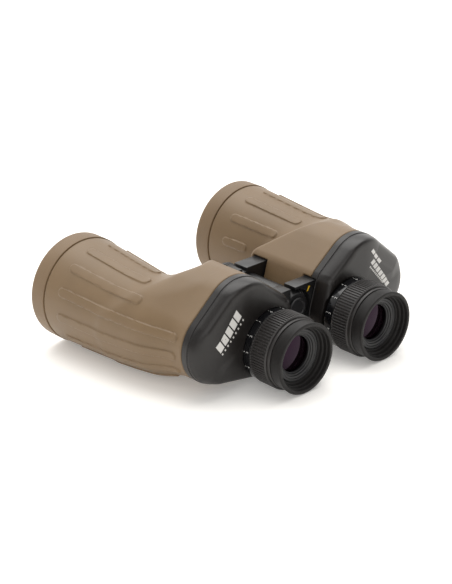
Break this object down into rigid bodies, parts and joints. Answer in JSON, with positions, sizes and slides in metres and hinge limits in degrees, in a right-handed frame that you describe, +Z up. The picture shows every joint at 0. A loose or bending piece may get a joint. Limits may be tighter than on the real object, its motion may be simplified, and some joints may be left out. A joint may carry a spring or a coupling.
{
  "type": "binoculars",
  "caption": "Porro-prism binoculars with rubber-armoured barrels, individually focusing eyepieces and a central folding hinge.",
  "frame": {"origin": "bottom centre of the bounding box, on the surface that the binoculars lie on", "axes": "+X to the user's right across both barrels, +Y from the eyepieces towards the objectives, +Z up; the optical axes tip 2.6 degrees up towards +Y"},
  "size_m": [0.2024, 0.1726, 0.0683],
  "materials": {
    "armour": "matte moulded rubber armour, khaki tan",
    "cover_black": "satin black paint",
    "cell_black": "matte black anodised",
    "collar_gloss": "gloss black with white ticks and numerals",
    "ring_rubber": "matte black, finely knurled",
    "eyecup_rubber": "soft matte black rubber",
    "lug_black": "satin black paint on cast alloy",
    "alloy": "bare machined alloy",
    "brass": "greased brass thread",
    "spring_steel": "plain steel",
    "prism_glass": "polished optical glass",
    "coated_glass": "optical glass with a violet anti-reflection coating"
  },
  "bodies": {
    "left_barrel": {"left_body_shell": "armour", "left_rear_cover": "cover_black", "left_prism_shelf": "alloy", "left_rear_prism": "prism_glass", "left_front_prism": "prism_glass", "left_rear_prism_clip": "spring_steel", "left_front_prism_clip": "spring_steel", "left_objective_ring": "armour", "left_objective_cell": "cell_black", "left_objective_front_lens": "coated_glass", "left_objective_rear_lens": "coated_glass", "left_objective_retaining_ring": "cell_black", "left_focus_neck": "brass", "left_rear_lug": "lug_black", "left_front_lug": "lug_black", "hinge_axle": "spring_steel", "hinge_rear_disc": "cover_black"},
    "right_barrel": {"right_body_shell": "armour", "right_rear_cover": "cover_black", "right_prism_shelf": "alloy", "right_rear_prism": "prism_glass", "right_front_prism": "prism_glass", "right_rear_prism_clip": "spring_steel", "right_front_prism_clip": "spring_steel", "right_objective_ring": "armour", "right_objective_cell": "cell_black", "right_objective_front_lens": "coated_glass", "right_objective_rear_lens": "coated_glass", "right_objective_retaining_ring": "cell_black", "right_focus_neck": "brass", "right_rear_lug": "lug_black", "right_front_lug": "lug_black", "hinge_sleeve": "lug_black"},
    "left_focus_carrier": {"left_helicoid_sleeve": "brass"},
    "left_eyepiece": {"left_eyecup": "eyecup_rubber", "left_eyepiece_tube": "cell_black", "left_focus_ring": "ring_rubber", "left_dioptre_scale_collar": "collar_gloss", "left_eye_lens": "coated_glass", "left_lens_spacer": "cell_black", "left_field_lens": "coated_glass"},
    "right_focus_carrier": {"right_helicoid_sleeve": "brass"},
    "right_eyepiece": {"right_eyecup": "eyecup_rubber", "right_eyepiece_tube": "cell_black", "right_focus_ring": "ring_rubber", "right_dioptre_scale_collar": "collar_gloss", "right_eye_lens": "coated_glass", "right_lens_spacer": "cell_black", "right_field_lens": "coated_glass"},
    "socket_cap": {"tripod_socket_cap": "cover_black"}
  },
  "joints": [
    {"name": "interpupillary_hinge", "type": "hinge", "parent": "left_barrel", "child": "right_barrel", "pos_m": [0, -0.02577, 0.03351], "axis": [0, 0.999, 0.0453], "range_deg": [-15, 35]},
    {"name": "left_focus_travel", "type": "slide", "parent": "left_barrel", "child": "left_focus_carrier", "axis": [0, 0.999, 0.0453], "range_m": [-0.0035, 0.0003]},
    {"name": "left_focus_turn", "type": "hinge", "parent": "left_focus_carrier", "child": "left_eyepiece", "pos_m": [-0.0325, -0.06734, 0.02287], "axis": [0, 0.999, 0.0453], "range_deg": [-131, 11.2]},
    {"name": "right_focus_travel", "type": "slide", "parent": "right_barrel", "child": "right_focus_carrier", "axis": [0, 0.999, 0.0453], "range_m": [-0.00173, 0.00207]},
    {"name": "right_focus_turn", "type": "hinge", "parent": "right_focus_carrier", "child": "right_eyepiece", "pos_m": [0.0325, -0.06734, 0.02287], "axis": [0, 0.999, 0.0453], "range_deg": [-64.8, 77.5]},
    {"name": "socket_cap_removal", "type": "slide", "parent": "left_barrel", "child": "socket_cap", "axis": [0, 0.999, 0.0453], "range_m": [0, 0.02]}
  ],
  "couplings": [
    {"joint": "left_focus_travel", "follows": "left_focus_turn", "m_per_rad": 0.0015279},
    {"joint": "right_focus_travel", "follows": "right_focus_turn", "m_per_rad": 0.0015279}
  ]
}
